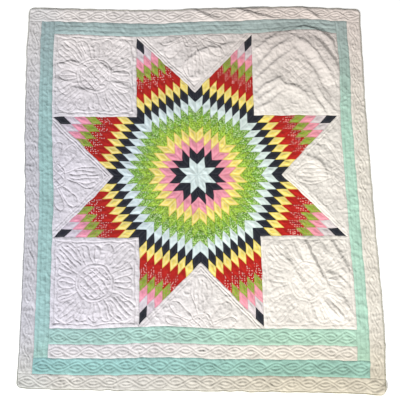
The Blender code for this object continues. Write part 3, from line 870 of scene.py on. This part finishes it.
# The binding: a folded strip of cream cotton sewn over the edge of all the layers,
# coloured grey, darker than cream, as painted shadow along the edge.
# It runs round the quilt in four lengths that meet in the middle of the rounded corners.
# Its section is given by the share of its width and the height in metres.
BINDING_SECTION = (
    (0.00, 0.0000), (0.00, 0.0014), (0.12, 0.0030), (0.35, 0.0038), (0.65, 0.0037),
    (0.88, 0.0028), (1.00, 0.0014), (0.97, 0.0000),
)
BINDING_STEP = 0.006
CORNER_STEPS = 6                        # steps of the binding round half a corner
BINDING_PUCKER = 0.3                    # small waves of the binding beside those of the faces
SEWN_HEIGHT = 0.0016                    # below it the binding gets the painted shade of a seam
# Cream darkened to grey as painted shadow along the quilt's edge
binding_cotton = cotton("binding_cotton", linear(184, 184, 174), seam_shade_strength=0.30)


def binding_side(name, facing, start, end):
    """One length of the binding, from the middle of one corner to the middle of the next."""
    sweep = 45 - math.degrees(HALF_GAP / INNER_RADIUS)
    frames = [(start, facing + sweep - sweep * step / CORNER_STEPS)
              for step in range(CORNER_STEPS)]
    count = round(math.dist(start, end) / BINDING_STEP)
    for step in range(count + 1):
        t = step / count
        frames.append(((start[0] + (end[0] - start[0]) * t,
                        start[1] + (end[1] - start[1]) * t), facing))
    frames += [(end, facing - sweep * step / CORNER_STEPS)
               for step in range(1, CORNER_STEPS + 1)]
    bm = bmesh.new()
    bmesh.ops.create_grid(bm, x_segments=len(frames) - 1, y_segments=len(BINDING_SECTION),
                          size=0.5)
    for vert in bm.verts:
        base, angle = frames[round((vert.co.x + 0.5) * (len(frames) - 1))]
        spot = round((vert.co.y + 0.5) * len(BINDING_SECTION)) % len(BINDING_SECTION)
        share, height = BINDING_SECTION[spot]
        reach = INNER_RADIUS + HALF_GAP + share * (BINDING_WIDTH - HALF_GAP)
        vert.co = (base[0] + reach * math.cos(math.radians(angle)),
                   base[1] + reach * math.sin(math.radians(angle)), height)
    bmesh.ops.remove_doubles(bm, verts=bm.verts[:], dist=0.00001)
    bmesh.ops.holes_fill(bm, edges=[edge for edge in bm.edges if edge.is_boundary])
    mesh, at = mesh_of(name, bm)
    places, height = at[:, :2], at[:, 2]
    rise = height + fold_height(places) + BINDING_PUCKER * pucker(places)
    rise = np.where(height > 0, rise, 0.0)
    # Painted shade along the low sewn edges of the binding
    shade = np.where(height < SEWN_HEIGHT, 1.0, 0.0)
    return finish_piece(name, mesh, places, rise, shade, [binding_cotton])


left, right = -BORDER_LEFT + INNER_RADIUS, BORDER_RIGHT - INNER_RADIUS
head, foot = BORDER_TOP - INNER_RADIUS, FOOT_BORDER + INNER_RADIUS
bindings = (
    binding_side("binding_left", 180, (left, foot), (left, head)),
    binding_side("binding_right", 0, (right, head), (right, foot)),
    binding_side("binding_top", 90, (left, head), (right, head)),
    binding_side("binding_foot", -90, (right, foot), (left, foot)),
)
for piece, binding, (name, *sizes, upright) in zip(border_pieces, bindings, BORDERS):
    declare_strip(piece, *sizes, [binding])

# The floor, the light and the camera: a plain pale floor, a low soft light from the foot
# at the left, a weaker one from the foot at the right, a dim room with a pale backdrop, and
# the camera over the quilt.
FLOOR_REACH = 6                         # from its middle to its edge, in metres
FLOOR_TONE = 0.93
ROOM_LIGHT = 0.22
BACKDROP_LIGHT = 0.90                   # strength of the backdrop as the camera sees it
CAMERA_PLACE = (-0.0271, -0.3182, 2.3827)
CAMERA_TILT = (6.45, -0.60, -0.98)
CAMERA_LENS = 36                        # mm, as wide as the sensor

floor_mesh = bpy.data.meshes.new("floor")
bm = bmesh.new()
bmesh.ops.create_grid(bm, x_segments=1, y_segments=1, size=FLOOR_REACH)
bm.to_mesh(floor_mesh)
bm.free()
floor = bpy.data.objects.new("floor", floor_mesh)
bpy.context.scene.collection.objects.link(floor)
floor_finish = Finish("pale_floor", roughness=0.9, sheen=0.0)
floor_finish.shader.inputs["Base Color"].default_value = (FLOOR_TONE, FLOOR_TONE, FLOOR_TONE, 1.0)
floor_mesh.materials.append(floor_finish.material)

# Soft square lights that face the middle of the quilt: name, direction over the floor and
# angle above it in degrees, distance and width in metres, power, and colour
LAMPS = (
    ("key", 228, 26, 14.0, 2.0, 3500, (1.0, 0.99, 0.98)),
    ("second", 318, 27, 10.0, 2.0, 740, (1.0, 0.98, 0.95)),
)
for name, direction, angle, distance, width, power, colour in LAMPS:
    data = bpy.data.lights.new(name, "AREA")
    data.size = width
    data.energy = power
    data.color = colour
    light = bpy.data.objects.new(name, data)
    a, e = math.radians(direction), math.radians(angle)
    back = Vector((math.cos(a) * math.cos(e), math.sin(a) * math.cos(e), math.sin(e)))
    light.location = back * distance
    light.rotation_euler = back.to_track_quat("Z", "Y").to_euler()
    bpy.context.scene.collection.objects.link(light)

world = bpy.data.worlds.new("studio")
world.use_nodes = True
nodes, links = world.node_tree.nodes, world.node_tree.links
either = nodes.new("ShaderNodeMixShader")
links.new(nodes.new("ShaderNodeLightPath").outputs["Is Camera Ray"], either.inputs[0])
sources = ((nodes["Background"], ROOM_LIGHT), (nodes.new("ShaderNodeBackground"), BACKDROP_LIGHT))
for place, (source, strength) in enumerate(sources, 1):
    source.inputs["Color"].default_value = (*WHITE, 1.0)
    source.inputs["Strength"].default_value = strength
    links.new(source.outputs[0], either.inputs[place])
links.new(either.outputs[0], nodes["World Output"].inputs[0])
bpy.context.scene.world = world
bpy.context.scene.view_settings.view_transform = "Standard"

camera_data = bpy.data.cameras.new("camera")
camera_data.lens = CAMERA_LENS
camera_data.sensor_width = CAMERA_LENS
camera = bpy.data.objects.new("camera", camera_data)
camera.location = CAMERA_PLACE
camera.rotation_euler = [math.radians(angle) for angle in CAMERA_TILT]
bpy.context.scene.collection.objects.link(camera)
bpy.context.scene.camera = camera
